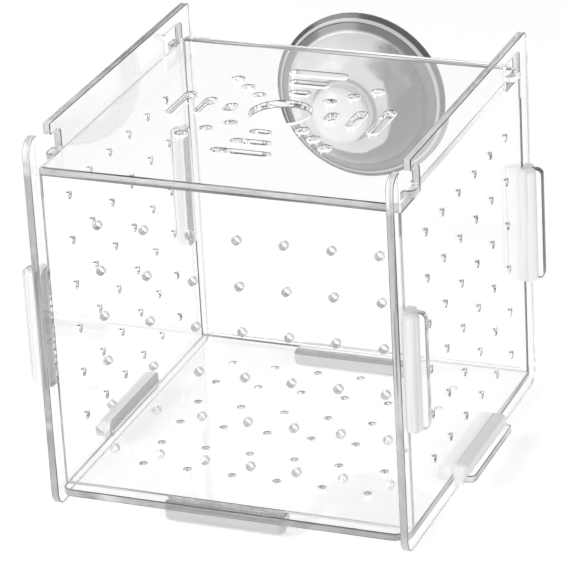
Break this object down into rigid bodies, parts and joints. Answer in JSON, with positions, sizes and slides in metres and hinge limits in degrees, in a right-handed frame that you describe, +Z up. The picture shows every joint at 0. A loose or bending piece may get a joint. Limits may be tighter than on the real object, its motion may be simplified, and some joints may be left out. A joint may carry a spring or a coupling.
{
  "type": "aquarium breeder box",
  "caption": "Clear box of interlocking vented sheet panels locked by white tab clips, with a sliding slotted lid and a suction cup, for keeping fry or single fish in a tank.",
  "frame": {"origin": "middle of the whole outline, suction cup included, on the plane that the box rests on", "axes": "+Z up, +Y to the back, towards the tank glass that the suction cup holds, +X to the right seen from the front"},
  "size_m": [0.1298, 0.1372, 0.1244],
  "materials": {
    "clear_acrylic": "clear cast acrylic sheet with glossy faces and polished laser-cut edges",
    "white_clip": "white, slightly milky moulded plastic, smooth satin gloss",
    "soft_clear_cup": "soft clear PVC, greyish where thick, glossy"
  },
  "bodies": {
    "box": {"front_panel": "clear_acrylic", "back_panel": "clear_acrylic", "left_panel": "clear_acrylic", "right_panel": "clear_acrylic", "bottom_panel": "clear_acrylic", "clip_front_left": "white_clip", "clip_front_right": "white_clip", "clip_back_left": "white_clip", "clip_back_right": "white_clip", "clip_bottom_front": "white_clip", "clip_bottom_back": "white_clip", "clip_bottom_left": "white_clip", "clip_bottom_right": "white_clip"},
    "lid": {"lid_panel": "clear_acrylic"},
    "cup": {"suction_cup": "soft_clear_cup"}
  },
  "joints": [
    {"name": "lid_slide", "type": "slide", "parent": "box", "child": "lid", "axis": [0, -1, 0], "range_m": [0, 0.007]},
    {"name": "cup_swivel", "type": "hinge", "parent": "box", "child": "cup", "pos_m": [-0.0024, 0.04835, 0.0914], "axis": [0, 1, 0], "continuous": true}
  ]
}
